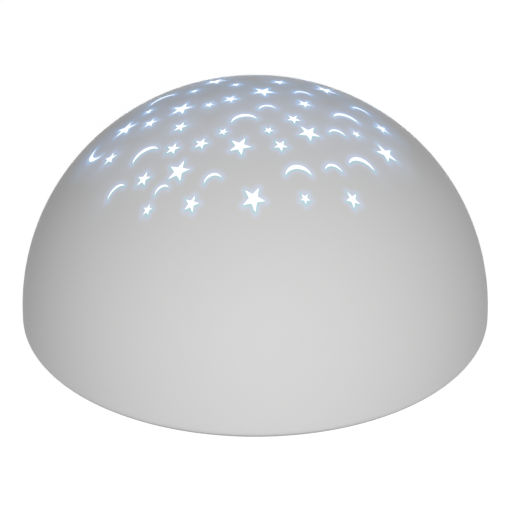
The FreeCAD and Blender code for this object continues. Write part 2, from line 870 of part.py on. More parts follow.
def storage_capacitor():
    can = post(capacitor_x, capacitor_y, capacitor_radius, board_top, board_top + capacitor_height)
    rim = [e for e in can.Edges if e.BoundBox.ZMin > board_top + capacitor_height - 1e-6]
    return can.makeFillet(0.4, rim)


def chip_resistors():
    return Part.makeCompound([
        centred_box(resistor_x + k * resistor_pitch, resistor_y, resistor_width, resistor_length,
                    board_top, board_top + resistor_height)
        for k in range(resistor_count)])


def light_deck():
    skirt_bottom = deck_bottom - deck_skirt_height
    disc = post(0, 0, deck_radius, deck_bottom, deck_top)
    skirt = ring(0, deck_radius, deck_radius - deck_skirt_wall, skirt_bottom, deck_bottom)
    holes = [post(0, 0, led_radius + deck_lamp_clearance, deck_bottom, deck_top)]
    holes += [post(x, y, deck_screw_radius + shank_clearance / 2, deck_bottom, deck_top)
              for x, y in post_places()]
    return only_solid(disc.fuse(skirt).cut(holes))


def deck_screws():
    return Part.makeCompound([
        screw(x, y, deck_top, deck_screw_head_radius, deck_screw_head_height, deck_screw_radius,
              deck_thickness + deck_screw_bite)
        for x, y in post_places()])


def switch_can():
    ear_length = can_length + 2 * can_ear
    body = centred_box(switch_x, 0, can_width, can_length, can_bottom, can_top)
    ears = centred_box(switch_x, 0, can_width * 0.6, ear_length, can_bottom, can_bottom + can_wall)
    room = centred_box(
        switch_x, 0, can_width - 2 * can_wall, can_length - 2 * can_wall, can_bottom + can_wall, can_top)
    stem_slot = centred_box(
        switch_x, 0, stem_size + 2 * knob_clearance,
        stem_size + 2 * switch_travel + 2 * knob_clearance, can_bottom, can_top)
    holes = [post(x, y, switch_screw_radius + shank_clearance / 2, can_bottom, can_top)
             for x, y in switch_standoff_places()]
    return only_solid(body.fuse(ears).cut([room, stem_slot] + holes))


def terminal_places():
    middle = (terminal_count - 1) / 2.0
    return [(k - middle) * terminal_pitch for k in range(terminal_count)]


def switch_insulator():
    plate = centred_box(
        switch_x, 0, can_width - 2 * can_wall, can_length - 2 * can_wall, can_top - insulator_thickness, can_top)
    slots = [centred_box(switch_x, y, terminal_width, terminal_thickness, can_bottom, can_top)
             for y in terminal_places()]
    return plate.cut(slots)


def switch_terminals():
    low = can_top - insulator_thickness
    return Part.makeCompound([
        centred_box(switch_x, y, terminal_width, terminal_thickness, low, terminal_top)
        for y in terminal_places()])


def switch_slider():
    block = centred_box(switch_x, 0, slider_size, slider_size, slider_bottom, slider_bottom + slider_height)
    stem = centred_box(switch_x, 0, stem_size, stem_size, knob_boss_top - stem_depth, slider_bottom)
    return only_solid(block.fuse(stem))


def switch_knob():
    flange = centred_box(
        switch_x, 0, knob_flange_width, knob_length + 2 * knob_flange_margin,
        flange_bottom, flange_bottom + knob_flange_thickness)
    finger = centred_box(switch_x, 0, knob_width, knob_length, knob_bottom, flange_bottom)
    boss = centred_box(switch_x, 0, knob_boss_size, knob_boss_size, flange_bottom, knob_boss_top)
    socket = centred_box(switch_x, 0, stem_size + 2 * stem_clearance, stem_size + 2 * stem_clearance,
                         knob_boss_top - stem_depth, knob_boss_top)
    grooves = [centred_box(switch_x, side * knob_length / 4.0, knob_width, knob_groove * 2,
                           knob_bottom, knob_bottom + knob_groove) for side in (-1, 0, 1)]
    return only_solid(flange.fuse([finger, boss]).cut([socket] + grooves))


def switch_screws():
    seat = can_bottom + can_wall
    return Part.makeCompound([
        screw(x, y, seat, switch_screw_head_radius, switch_screw_head_height, switch_screw_radius,
              can_wall + switch_screw_bite)
        for x, y in switch_standoff_places()])


def wire(points):
    """A round wire along straight runs joined by tangent arcs."""
    edges = []
    last = points[0]
    for before, corner, after in zip(points, points[1:], points[2:]):
        way_in = (corner - before).normalize()
        way_out = (after - corner).normalize()
        cut = wire_bend_share * min((corner - before).Length, (after - corner).Length)
        start = corner - way_in * cut
        end = corner + way_out * cut
        edges.append(Part.LineSegment(last, start).toShape())
        edges.append(arc_from_tangent(start, way_in, end))
        last = end
    edges.append(Part.LineSegment(last, points[-1]).toShape())
    heading = (points[1] - points[0]).normalize()
    section = Part.Wire([Part.Circle(points[0], heading, wire_radius).toShape()])
    return Part.Wire(edges).makePipeShell([section], True, False)


def battery_wire(x, side):
    """From a solder tab's inner face, over the board's edge, down to the board."""
    face = side * back_contact_face
    low = tab_top - 2 * wire_radius
    board_edge = side * board_width / 2.0
    landing = board_edge - side * battery_wire_landing
    return wire([
        Vector(x, face, low),
        Vector(x, face - side * battery_wire_reach, low),
        Vector(x, board_edge + side * 1.5, wire_run_height),
        Vector(x, landing, wire_run_height),
        Vector(x, landing, board_top),
    ])


def switch_wire(y):
    """From a switch terminal up and across to the board."""
    landing = board_length / 2.0 - switch_wire_landing
    knee = (landing + switch_x) / 2.0 + board_thickness
    return wire([
        Vector(switch_x, y, terminal_top),
        Vector(switch_x, y, wire_run_height - 3.0),
        Vector(knee, y, wire_run_height),
        Vector(landing, y, wire_run_height),
        Vector(landing, y, board_top),
    ])


def save(shape, name):
    shape.exportStep("parts/" + name + ".step")


save(dome_shell(), "dome_shell")
save(base_plate(), "base_plate")
save(base_screws(), "base_screws")
for (x, y), side in zip(foot_places, ("right", "back", "left", "front")):
    save(rubber_foot(x, y), "rubber_foot_" + side)

save(battery_door(), "battery_door")
save(door_screw(), "door_screw")
save(door_screw_clip(), "door_screw_clip")
save(door_screw_nut(), "door_screw_nut")

for number in range(cell_count):
    save(aa_cell(number), "aa_cell_%d" % (number + 1))
    save(battery_spring(number), "battery_spring_%d" % (number + 1))
    print("spring", number + 1, "least gap between turns %.2f mm" % spring_gap(number))
save(contact_negative(), "contact_negative")
save(contact_positive(), "contact_positive")
save(contact_bridge_front(), "contact_bridge_front")
save(contact_bridge_back(), "contact_bridge_back")

save(circuit_board(), "circuit_board")
save(board_screws(), "board_screws")
save(led_lamp(), "led_lamp")
save(led_leads(), "led_leads")
save(led_spacer(), "led_spacer")
save(control_chip(), "control_chip")
save(storage_capacitor(), "storage_capacitor")
save(chip_resistors(), "chip_resistors")
save(light_deck(), "light_deck")
save(deck_screws(), "deck_screws")

save(switch_can(), "switch_can")
save(switch_insulator(), "switch_insulator")
save(switch_terminals(), "switch_terminals")
save(switch_slider(), "switch_slider")
save(switch_knob(), "switch_knob")
save(switch_screws(), "switch_screws")

save(battery_wire(cell_x(0), -1), "wire_battery_negative")
save(battery_wire(cell_x(cell_count - 1), 1), "wire_battery_positive")
for y, use in zip(terminal_places(), ("white", "common", "colour")):
    save(switch_wire(y), "wire_switch_" + use)
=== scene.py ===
import bpy
import math
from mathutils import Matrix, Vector


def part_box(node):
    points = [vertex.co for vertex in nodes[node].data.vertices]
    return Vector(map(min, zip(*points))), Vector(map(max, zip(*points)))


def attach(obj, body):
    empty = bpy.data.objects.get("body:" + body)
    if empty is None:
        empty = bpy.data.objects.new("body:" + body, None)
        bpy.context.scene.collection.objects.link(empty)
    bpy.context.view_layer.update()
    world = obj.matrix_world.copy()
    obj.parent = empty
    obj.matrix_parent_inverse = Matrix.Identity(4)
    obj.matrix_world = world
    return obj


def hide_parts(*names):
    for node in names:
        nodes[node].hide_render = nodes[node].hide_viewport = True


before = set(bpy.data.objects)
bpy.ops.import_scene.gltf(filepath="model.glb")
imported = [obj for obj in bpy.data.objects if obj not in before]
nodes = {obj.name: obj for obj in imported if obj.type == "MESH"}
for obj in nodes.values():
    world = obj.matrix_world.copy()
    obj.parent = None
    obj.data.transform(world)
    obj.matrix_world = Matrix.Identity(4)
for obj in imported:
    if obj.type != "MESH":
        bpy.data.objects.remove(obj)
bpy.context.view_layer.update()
scene = bpy.context.scene
mm = 0.001

domeLow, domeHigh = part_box("dome_shell")
print("frame loaded with", len(nodes), "nodes")


# camera, placed so that the dome's outline falls where the photo has it

cameraSettings = {
    "distance": 8.0 * domeHigh.x,
    "elevation": 28.15,       # degrees above level
    "lookHeight": 22.9 * mm,
    "lens": 131.7,
    "shiftX": 0.0015,
}


def makeCamera(settings):
    data = bpy.data.cameras.new("camera")
    data.lens = settings["lens"]
    data.shift_x = settings["shiftX"]
    data.clip_start = 0.01
    camera = bpy.data.objects.new("camera", data)
    scene.collection.objects.link(camera)
    lift = math.radians(settings["elevation"])
    back = Vector((0, -math.cos(lift), math.sin(lift)))
    camera.location = Vector((0, 0, settings["lookHeight"])) + back * settings["distance"]
    camera.rotation_euler = (math.pi / 2 - lift, 0, 0)
    scene.camera = camera


makeCamera(cameraSettings)
print("camera placed")


# helpers for node trees

def plug(tree, socket, value):
    if isinstance(value, bpy.types.NodeSocket):
        tree.links.new(value, socket)
    else:
        socket.default_value = value


def addNode(tree, kind, inputs=None, **settings):
    node = tree.nodes.new(kind)
    for name, value in settings.items():
        setattr(node, name, value)
    for name, value in (inputs or {}).items():
        plug(tree, node.inputs[name], value)
    return node


def mathNode(tree, operation, *values):
    node = addNode(tree, "ShaderNodeMath", operation=operation)
    for socket, value in zip(node.inputs, values):
        plug(tree, socket, value)
    return node.outputs[0]


def rampNode(tree, value, low, high, first=0.0, last=1.0):
    spread = addNode(tree, "ShaderNodeMapRange", interpolation_type="SMOOTHSTEP", inputs={
        "Value": value, "From Min": low, "From Max": high, "To Min": first, "To Max": last})
    return spread.outputs[0]


def mixColours(tree, share, first, second):
    node = addNode(tree, "ShaderNodeMix", data_type="RGBA")
    for socket, value in zip((node.inputs[0], node.inputs[6], node.inputs[7]), (share, first, second)):
        plug(tree, socket, value)
    return node.outputs[2]


def combineNode(tree, **axes):
    return addNode(tree, "ShaderNodeCombineXYZ", inputs=axes).outputs[0]


def splitNode(tree, vector):
    return addNode(tree, "ShaderNodeSeparateXYZ", inputs={"Vector": vector}).outputs


def placeNode(tree):
    return addNode(tree, "ShaderNodeTexCoord").outputs["Object"]


def noiseNode(tree, place, scale, detail=2.0):
    return addNode(tree, "ShaderNodeTexNoise", inputs={
        "Vector": place, "Scale": scale, "Detail": detail}).outputs[0]


socketTypes = {
    float: "NodeSocketFloat", int: "NodeSocketInt",
    bpy.types.Object: "NodeSocketObject", bpy.types.Material: "NodeSocketMaterial",
}


# shader groups, each shared by several finishes

noiseRange = (0.35, 0.65)     # most of a noise lies between these

moulded = {
    "inputs": {"Scale": 900.0, "Peel Scale": 160.0, "Low Roughness": 0.4, "High Roughness": 0.5},
    "fineShare": 0.35,
    "fineDetail": 3.0,
    "peelDetail": 1.0,
    "cloudScale": 22.0,
}

rolled = {
    "inputs": {"Scale": 900.0, "Stretch": 8.0, "Low Roughness": 0.2, "High Roughness": 0.35},
    "cloudScale": 180.0,
}

fibres = {
    "inputs": {"Scale": 1400.0, "Blur": 0.6},
    "speckScale": 500.0,
}


def newGroup(name, inputs, outputs):
    tree = bpy.data.node_groups.new(name, "ShaderNodeTree")
    for label, value in inputs.items():
        socket = tree.interface.new_socket(label, in_out="INPUT", socket_type=socketTypes[type(value)])
        socket.default_value = value
    for label in outputs:
        tree.interface.new_socket(label, in_out="OUTPUT", socket_type="NodeSocketFloat")
    start = tree.nodes.new("NodeGroupInput").outputs
    end = tree.nodes.new("NodeGroupOutput").inputs
    return tree, start, end, placeNode(tree)


# two noises choose between the group's low and high roughness
def roughnessNode(tree, start, first, second):
    share = mathNode(tree, "MULTIPLY", mathNode(tree, "ADD", first, second), 0.5)
    return addNode(tree, "ShaderNodeMapRange", inputs={
        "Value": share, "From Min": noiseRange[0], "From Max": noiseRange[1],
        "To Min": start["Low Roughness"], "To Max": start["High Roughness"]}).outputs[0]


# orange peel and fine roughness of moulded plastic
def makeGrainGroup(look):
    tree, start, end, place = newGroup("mouldedGrain", look["inputs"], ("Height", "Roughness", "Cloud"))
    fine = noiseNode(tree, place, start["Scale"], look["fineDetail"])
    peel = noiseNode(tree, place, start["Peel Scale"], look["peelDetail"])
    cloud = noiseNode(tree, place, look["cloudScale"])
    plug(tree, end["Height"], mathNode(tree, "MULTIPLY_ADD", fine, look["fineShare"], peel))
    plug(tree, end["Cloud"], cloud)
    plug(tree, end["Roughness"], roughnessNode(tree, start, fine, cloud))
    return tree


# fine lines of rolled, drawn or turned metal
def makeMetalGroup(look):
    tree, start, end, place = newGroup("rolledMetal", look["inputs"], ("Height", "Roughness", "Shade"))
    parts = splitNode(tree, place)
    across = mathNode(tree, "MULTIPLY", parts["X"], start["Stretch"])
    lines = noiseNode(tree, combineNode(tree, X=across, Y=parts["Y"], Z=parts["Z"]), start["Scale"])
    cloud = noiseNode(tree, place, look["cloudScale"])
    plug(tree, end["Height"], lines)
    plug(tree, end["Shade"], rampNode(tree, cloud, *noiseRange))
    plug(tree, end["Roughness"], roughnessNode(tree, start, lines, cloud))
    return tree


# crossed glass or paper fibres under a lacquer
def makeFibreGroup(look):
    tree, start, end, place = newGroup("fibreWeave", look["inputs"], ("Height", "Thread"))
    threads = []
    for direction in ("X", "Y"):
        wave = addNode(tree, "ShaderNodeTexWave", bands_direction=direction, inputs={
            "Vector": place, "Scale": start["Scale"], "Distortion": start["Blur"]})
        threads.append(wave.outputs["Fac"])
    weave = mathNode(tree, "MULTIPLY", *threads)
    plug(tree, end["Height"], weave)
    plug(tree, end["Thread"], mathNode(tree, "MULTIPLY", weave, noiseNode(tree, place, look["speckScale"])))
    return tree


mouldedGrain = makeGrainGroup(moulded)
rolledMetal = makeMetalGroup(rolled)
fibreWeave = makeFibreGroup(fibres)


def emptyMaterial(name):
    material = bpy.data.materials.new(name)
    material.use_nodes = True
    material.node_tree.nodes.clear()
    return material, material.node_tree


def newMaterial(name):
    material, tree = emptyMaterial(name)
    shader = addNode(tree, "ShaderNodeBsdfPrincipled")
    addNode(tree, "ShaderNodeOutputMaterial", inputs={"Surface": shader.outputs[0]})
    return material, tree, shader


def useGroup(tree, group, **values):
    node = addNode(tree, "ShaderNodeGroup", node_tree=group)
    for name, value in values.items():
        plug(tree, node.inputs[name.replace("_", " ")], value)
    return node.outputs


# a grain group with the roughness range of a look
def useGrain(tree, group, look, **values):
    low, high = look["roughness"]
    return useGroup(tree, group, Low_Roughness=low, High_Roughness=high, **values)


def addBump(tree, shader, height, distance):
    bump = addNode(tree, "ShaderNodeBump", inputs={"Height": height, "Distance": distance, "Strength": 1.0})
    plug(tree, shader.inputs["Normal"], bump.outputs[0])


# the dome's plastic, with the coloured fringe that the light leaves round each cut-out

skin = {
    "colour": (0.77, 0.77, 0.765, 1.0),
    "shade": (0.75, 0.75, 0.75, 1.0),
    "haze": (0.73, 0.75, 0.80, 1.0),
    "hazeGlow": (0.34, 0.54, 1.0, 1.0),
    "topHazeGlow": (0.13, 0.45, 1.0, 1.0),
    "teal": (0.60, 0.78, 0.78, 1.0),     # painted light, on a cut-out's front side, low on the dome
    "tealGlow": (0.25, 0.54, 0.80, 1.0),
    "hazeReach": 2.2 * mm,
    "hazeFull": 0.1,           # share of the reach where the fringe is at its strongest
    "tealReach": 0.9 * mm,
    "tealFull": 0.4,
    "sideFade": 0.3,           # how gently teal gives way round a cut-out
    "topStart": -18.0 * mm,
    "topEnd": 6.0 * mm,
    "topTightness": 1.45,      # how much narrower the fringe is there
    "lowGlow": 0.14,
    "topGlow": 0.32,
    "veilReach": 11.0 * mm,     # a faint veil of painted glow between the cut-outs, stronger towards the top
    "veilStart": -42.0 * mm,
    "veilEnd": -4.0 * mm,
    "veilGlow": 0.14,
    "veilFall": 1.4,
    "edge": (0.49, 0.49, 0.495, 1.0),      # painted shade: a darker line along the lower edge, where shade falls at the rim
    "shadeLineLow": 0.3 * mm,
    "shadeLineHigh": 1.3 * mm,
    "shadeLineFade": 0.25 * mm,
    "roughness": (0.46, 0.56),
    "gloss": 0.1,
    "bump": 0.01 * mm,
}


# 1 at the edge of a cut-out, fading to 0 at the reach
def fringeNode(tree, gap, full, reach):
    return rampNode(tree, gap, full * reach, reach, 1.0, 0.0)


def makeSkin(look):
    material, tree, shader = newMaterial("domeSkin")
    grain = useGrain(tree, mouldedGrain, look)
    gap = addNode(tree, "ShaderNodeAttribute", attribute_name="cutDistance").outputs["Fac"]
    side = addNode(tree, "ShaderNodeAttribute", attribute_name="cutSide").outputs["Fac"]
    along = splitNode(tree, placeNode(tree))
    top = rampNode(tree, along["Y"], look["topStart"], look["topEnd"])

    # painted shade: a darker band on the skin just above its lower edge
    low, high, fade = domeLow.z + look["shadeLineLow"], domeLow.z + look["shadeLineHigh"], look["shadeLineFade"]
    edge = mathNode(tree, "MINIMUM", rampNode(tree, along["Z"], low - fade, low + fade),
                    rampNode(tree, along["Z"], high - fade, high + fade, 1.0, 0.0))
    # painted light: a bluish tint and glow round each cut-out, for the lamp's light through the plastic
    near = mathNode(tree, "MULTIPLY", gap, rampNode(tree, top, 0.0, 1.0, 1.0, look["topTightness"]))
    haze = fringeNode(tree, near, look["hazeFull"], look["hazeReach"])
    # painted light: teal on the front side of a cut-out, low on the dome
    front = rampNode(tree, side, look["sideFade"], -look["sideFade"])
    teal = mathNode(tree, "MULTIPLY", fringeNode(tree, gap, look["tealFull"], look["tealReach"]), front)
    teal = mathNode(tree, "MULTIPLY", teal, mathNode(tree, "SUBTRACT", 1.0, top))

    colour = mixColours(tree, grain["Cloud"], look["shade"], look["colour"])
    colour = mixColours(tree, haze, colour, look["haze"])
    # mix in the painted shade along the lower edge
    colour = mixColours(tree, edge, colour, look["edge"])
    plug(tree, shader.inputs["Base Color"], mixColours(tree, teal, colour, look["teal"]))
    plug(tree, shader.inputs["Roughness"], grain["Roughness"])

    blue = mixColours(tree, top, look["hazeGlow"], look["topHazeGlow"])
    plug(tree, shader.inputs["Emission Color"], mixColours(tree, teal, blue, look["tealGlow"]))
    glow = mathNode(tree, "MULTIPLY", haze, rampNode(tree, top, 0.0, 1.0, look["lowGlow"], look["topGlow"]))
    # painted glow: a faint veil between the cut-outs, stronger towards the top
    veil = mathNode(tree, "POWER", fringeNode(tree, gap, 0.0, look["veilReach"]), look["veilFall"])
    wide = rampNode(tree, along["Y"], look["veilStart"], look["veilEnd"], 0.0, look["veilGlow"])
    veil = mathNode(tree, "MULTIPLY", veil, wide)
    plug(tree, shader.inputs["Emission Strength"], mathNode(tree, "ADD", glow, veil))
    shader.inputs["Specular IOR Level"].default_value = look["gloss"]
    addBump(tree, shader, grain["Height"], look["bump"])
    return material


# the walls of the cut-outs and the dome's inside, lit by the lamp

lit = {
    "wall": (0.94, 0.99, 1.0, 1.0),
    "wallGlow": 0.95,
    "inside": (0.88, 0.98, 1.0, 1.0),
    "insideGlow": 0.9,
    "base": (0.2, 0.2, 0.2, 1.0),
    "dim": 0.94,
    "cloudScale": 300.0,
    "roughness": 0.5,
}


def makeGlow(name, colour, strength, look):
    material, tree, shader = newMaterial(name)
    dim = tuple(look["dim"] * c for c in colour[:3]) + (1.0,)
    cloud = noiseNode(tree, placeNode(tree), look["cloudScale"])
    plug(tree, shader.inputs["Emission Color"], mixColours(tree, cloud, dim, colour))
    shader.inputs["Base Color"].default_value = look["base"]
    shader.inputs["Emission Strength"].default_value = strength
    shader.inputs["Roughness"].default_value = look["roughness"]
    return material


domeSkin = makeSkin(skin)
cutWall = makeGlow("cutWall", lit["wall"], lit["wallGlow"], lit)
domeInside = makeGlow("domeInside", lit["inside"], lit["insideGlow"], lit)
print("dome finishes made")


# geometry trees

def newGeometryTree(name, inputs):
    tree = bpy.data.node_groups.new(name, "GeometryNodeTree")
    tree.interface.new_socket("Geometry", in_out="INPUT", socket_type="NodeSocketGeometry")
    for label, kind in inputs.items():
        tree.interface.new_socket(label, in_out="INPUT", socket_type=socketTypes[kind])
    tree.interface.new_socket("Geometry", in_out="OUTPUT", socket_type="NodeSocketGeometry")
    start = tree.nodes.new("NodeGroupInput").outputs
    end = tree.nodes.new("NodeGroupOutput").inputs
    return tree, start, end


weldDistance = 0.001 * mm


def weldNode(tree, geometry):
    return addNode(tree, "GeometryNodeMergeByDistance", inputs={
        "Geometry": geometry, "Distance": weldDistance}).outputs[0]


def joinNode(tree, *parts):
    joined = addNode(tree, "GeometryNodeJoinGeometry")
    for part in parts:
        tree.links.new(part, joined.inputs[0])
    return joined.outputs[0]


def realNode(tree, copies):
    return addNode(tree, "GeometryNodeRealizeInstances", inputs={"Geometry": copies}).outputs[0]


def wholeNode(tree, operation, first, second):
    return addNode(tree, "FunctionNodeIntegerMath", operation=operation, inputs={
        0: first, 1: second}).outputs[0]


def namedValue(tree, name):
    return addNode(tree, "GeometryNodeInputNamedAttribute", data_type="FLOAT", inputs={
        "Name": name}).outputs[0]


def compareNode(tree, operation, name, value):
    return addNode(tree, "FunctionNodeCompare", data_type="FLOAT", operation=operation, inputs={
        "A": namedValue(tree, name), "B": value}).outputs[0]


def storeNode(tree, geometry, name, value, domain="POINT"):
    return addNode(tree, "GeometryNodeStoreNamedAttribute", data_type="FLOAT", domain=domain, inputs={
        "Geometry": geometry, "Name": name, "Value": value}).outputs[0]


# runs a tree on an object and leaves the plain mesh that it makes
def runTree(obj, tree, values):
    modifier = obj.modifiers.new(tree.name, "NODES")
    modifier.node_group = tree
    for item in tree.interface.items_tree:
        if item.in_out == "INPUT" and item.name in values:
            modifier[item.identifier] = values[item.name]
    view = bpy.context.evaluated_depsgraph_get()
    mesh = bpy.data.meshes.new_from_object(
        obj.evaluated_get(view), preserve_all_data_layers=True, depsgraph=view)
    obj.modifiers.remove(modifier)
    obj.data = mesh
    return obj


def pointMesh(name, places, **columns):
    mesh = bpy.data.meshes.new(name)
    mesh.from_pydata(places, [], [])
    for label, values in columns.items():
        mesh.attributes.new(label, "FLOAT", "POINT").data.foreach_set("value", values)
    obj = bpy.data.objects.new(name, mesh)
    scene.collection.objects.link(obj)
    return obj


# dome: two arcs that meet on one tangent, a curl at the rim, and the wall inside

dome = {
    "crownAngle": 51.0,
    "wall": 2.2 * mm,
    "skirtWall": 3.6 * mm,
    "curlRadius": 3.2 * mm,
    "curlAngle": 65.0,
    "curlStep": 0.5 * mm,
    "segments": 360,
    "fineStep": 0.8 * mm,     # rings where the cut-outs are
    "fineEnd": 38.0,          # degrees above level
    "plainStep": 2.5 * mm,
    "sharpAngle": 30.0,
}


def arcPoints(centreX, centreZ, radius, first, last, step):
    count = max(1, round(abs(math.radians(last - first)) * radius / step))
    turns = [math.radians(first + (last - first) * k / count) for k in range(count + 1)]
    return [(centreX + radius * math.cos(t), 0.0, centreZ + radius * math.sin(t)) for t in turns]


def domeProfile(size):
    radius, curl, curlAngle = domeHigh.x, size["curlRadius"], size["curlAngle"]
    widest = domeLow.z + curl * math.sin(math.radians(curlAngle))
    rise = domeHigh.z - widest
    crown = math.radians(size["crownAngle"])
    spread = (1 - math.sin(crown)) / math.cos(crown)
    shoulder = (rise - radius * spread) / (math.sin(crown) - spread * (1 - math.cos(crown)))
    crownRadius = (radius - shoulder * (1 - math.cos(crown))) / math.cos(crown)
    shoulderX = radius - shoulder
    crownZ = widest + rise - crownRadius
    fine, plain, wall = size["fineStep"], size["plainStep"], size["wall"]

    outer = arcPoints(0, crownZ, crownRadius, 90, size["crownAngle"], fine)
    outer += arcPoints(shoulderX, widest, shoulder, size["crownAngle"], size["fineEnd"], fine)[1:]
    outer += arcPoints(shoulderX, widest, shoulder, size["fineEnd"], 0, plain)[1:]
    outer += arcPoints(radius - curl, widest, curl, 0, -curlAngle, size["curlStep"])[1:]

    skirt = radius - size["skirtWall"]
    skirtAngle = math.degrees(math.acos((skirt - shoulderX) / (shoulder - wall)))
    inner = [(skirt, 0.0, domeLow.z)]
    inner += arcPoints(shoulderX, widest, shoulder - wall, skirtAngle, size["crownAngle"], plain)
    inner += arcPoints(0, crownZ, crownRadius - wall, size["crownAngle"], 90, plain)[1:]
    return outer, inner


# screw bosses inside the dome, hung from its wall by webs

bosses = {
    "count": 4,
    "turn": 45.0,
    "circle": 64.0 * mm,
    "radius": 3.5 * mm,
    "bottom": 6.0 * mm,
    "top": 22.0 * mm,
    "web": 1.6 * mm,
    "webEnd": 73.0 * mm,
    "pilotRadius": 1.3 * mm,
    "pilotBottom": 5.0 * mm,     # below the boss, so that the hole opens cleanly
    "pilotTop": 16.0 * mm,
    "sides": 32,
}


# equal copies round the upright axis
def ringNode(tree, geometry, size):
    points = addNode(tree, "GeometryNodePoints", inputs={"Count": size["count"]}).outputs[0]
    index = addNode(tree, "GeometryNodeInputIndex").outputs[0]
    step, first = 2 * math.pi / size["count"], math.radians(size["turn"])
    turn = combineNode(tree, Z=mathNode(tree, "MULTIPLY_ADD", index, step, first))
    copies = addNode(tree, "GeometryNodeInstanceOnPoints", inputs={
        "Points": points, "Instance": geometry, "Rotation": turn}).outputs[0]
    return realNode(tree, copies)


def placedNode(tree, geometry, x, low, high):
    return addNode(tree, "GeometryNodeTransform", inputs={
        "Geometry": geometry, "Translation": (x, 0.0, (low + high) / 2)}).outputs[0]


def postNode(tree, size, radius, low, high):
    post = addNode(tree, "GeometryNodeMeshCylinder", inputs={
        "Vertices": size["sides"], "Radius": radius, "Depth": high - low}).outputs["Mesh"]
    return ringNode(tree, placedNode(tree, post, size["circle"], low, high), size)


def webNode(tree, size):
    first, last, low, high = size["circle"], size["webEnd"], size["bottom"], size["top"]
    web = addNode(tree, "GeometryNodeMeshCube", inputs={
        "Size": (last - first, size["web"], high - low)}).outputs["Mesh"]
    return ringNode(tree, placedNode(tree, web, (first + last) / 2, low, high), size)


# cut-outs in millimetres, seen from above

sky = {
    "starTurn": -9.0,
    "starWaist": 0.38,
    "starPoints": 5,
    "moonTurn": 100.0,
    "largeStar": 3.45,
    "mediumStar": 2.25,
    "smallStar": 1.55,
    "largeMoon": (7.9, 3.3, 1.3),      # chord, bulge, width
    "mediumMoon": (5.2, 2.3, 0.8),
    "smallMoon": (4.2, 1.9, 0.7),
    "moonPoints": 13,
    "start": 40.0,         # height where the cuts begin
    "largeStars": [
        (-12.5, 16.5), (22.0, 13.5), (2.5, 2.0), (-22.5, -3.5), (-40.0, -1.0), (16.0, -19.5),
        (-4.5, -27.0), (39.5, -15.5), (-22.5, -32.0), (-0.5, -44.0), (38.0, 25.0), (-41.0, 26.0),
        (4.5, 34.0), (-22.5, 31.5), (-9.0, 44.5),
    ],
    "mediumStars": [
        (7.5, 12.5), (-7.5, -3.0), (15.0, -4.0), (11.5, -14.0), (-32.0, -5.5), (-22.5, -14.0),
        (39.0, -2.0), (-16.0, -24.0), (7.5, -26.5), (-24.5, -23.0), (-44.0, -13.5), (-33.0, -30.0),
        (28.5, -38.5), (-18.5, -43.0), (0.5, 28.5), (16.5, 27.5), (-14.0, 28.0), (15.5, 42.0),
        (-22.0, 41.5),
    ],
    "smallStars": [
        (-6.0, 9.0), (-19.0, 9.0), (-14.0, -5.0), (-33.0, 4.0), (4.0, -20.5), (-9.5, -20.5),
        (30.5, -13.0), (14.5, -42.5), (-31.5, -40.0), (11.0, 29.5), (-17.5, 37.5), (-32.0, 33.0),
        (26.0, 37.0), (4.0, 46.5),
    ],
    "largeMoons": [
        (-29.0, 11.5), (27.5, -6.0), (-3.5, -15.0), (-33.0, -20.5), (31.5, -25.5), (12.5, -35.0),
        (22.0, 31.0), (-6.0, 36.0),
    ],
    "mediumMoons": [
        (14.5, 4.0), (3.5, -9.0), (32.5, 4.5), (24.5, -16.0), (23.0, -31.0), (-12.5, -37.0),
        (-41.5, -28.5), (-7.0, 27.5), (38.5, 32.0), (-34.0, 36.5), (26.5, 43.0),
    ],
    "smallMoons": [(-27.5, -36.0)],
    "turnedMoons": [(-49.0, -5.0, 197.0)],
}


def skyLayout(size):
    rows = []
    for scale in ("large", "medium", "small"):
        rows += [(x, y, 0.0, size[scale + "Star"], size["starTurn"]) for x, y in size[scale + "Stars"]]
    for kind, scale in enumerate(("large", "medium", "small"), 1):
        rows += [(x, y, float(kind), 1.0, size["moonTurn"]) for x, y in size[scale + "Moons"]]
    rows += [(x, y, 1.0, 1.0, turn) for x, y, turn in size["turnedMoons"]]
    places = [(x * mm, y * mm, size["start"] * mm) for x, y, *_ in rows]
    return pointMesh("skyLayout", places, kind=[r[2] for r in rows], reach=[r[3] for r in rows],
                     turn=[math.radians(r[4]) for r in rows])


# face is 0 on the skin, 1 inside the shell and 2 on the wall of a cut-out
def markNode(tree, geometry, value):
    return storeNode(tree, geometry, "face", value, "FACE")


# a closed upright prism on a closed outline
def prismNode(tree, outline, height):
    face = addNode(tree, "GeometryNodeFillCurve", mode="NGONS", inputs={"Curve": outline}).outputs[0]
    sides = addNode(tree, "GeometryNodeExtrudeMesh", inputs={
        "Mesh": face, "Offset": combineNode(tree, Z=height), "Individual": False}).outputs[0]
    floor = addNode(tree, "GeometryNodeFlipFaces", inputs={"Mesh": face}).outputs[0]
    return weldNode(tree, joinNode(tree, floor, sides))


def moonOutline(tree, size, name):
    chord, bulge, width = (value * mm for value in size[name])
    back = -(bulge - width) / 2
    arcs = [addNode(tree, "GeometryNodeCurveArc", mode="POINTS", inputs={
        "Resolution": size["moonPoints"], "Start": (back, -chord / 2, 0), "Middle": (back + reach, 0, 0),
        "End": (back, chord / 2, 0)}).outputs[0] for reach in (bulge, bulge - width)]
    wire = addNode(tree, "GeometryNodeCurveToMesh", inputs={"Curve": joinNode(tree, *arcs)}).outputs[0]
    return addNode(tree, "GeometryNodeMeshToCurve", inputs={"Mesh": weldNode(tree, wire)}).outputs[0]


def starOutline(tree, size):
    star = addNode(tree, "GeometryNodeCurveStar", inputs={
        "Points": size["starPoints"], "Inner Radius": size["starWaist"] * mm, "Outer Radius": mm})
    return star.outputs[0]


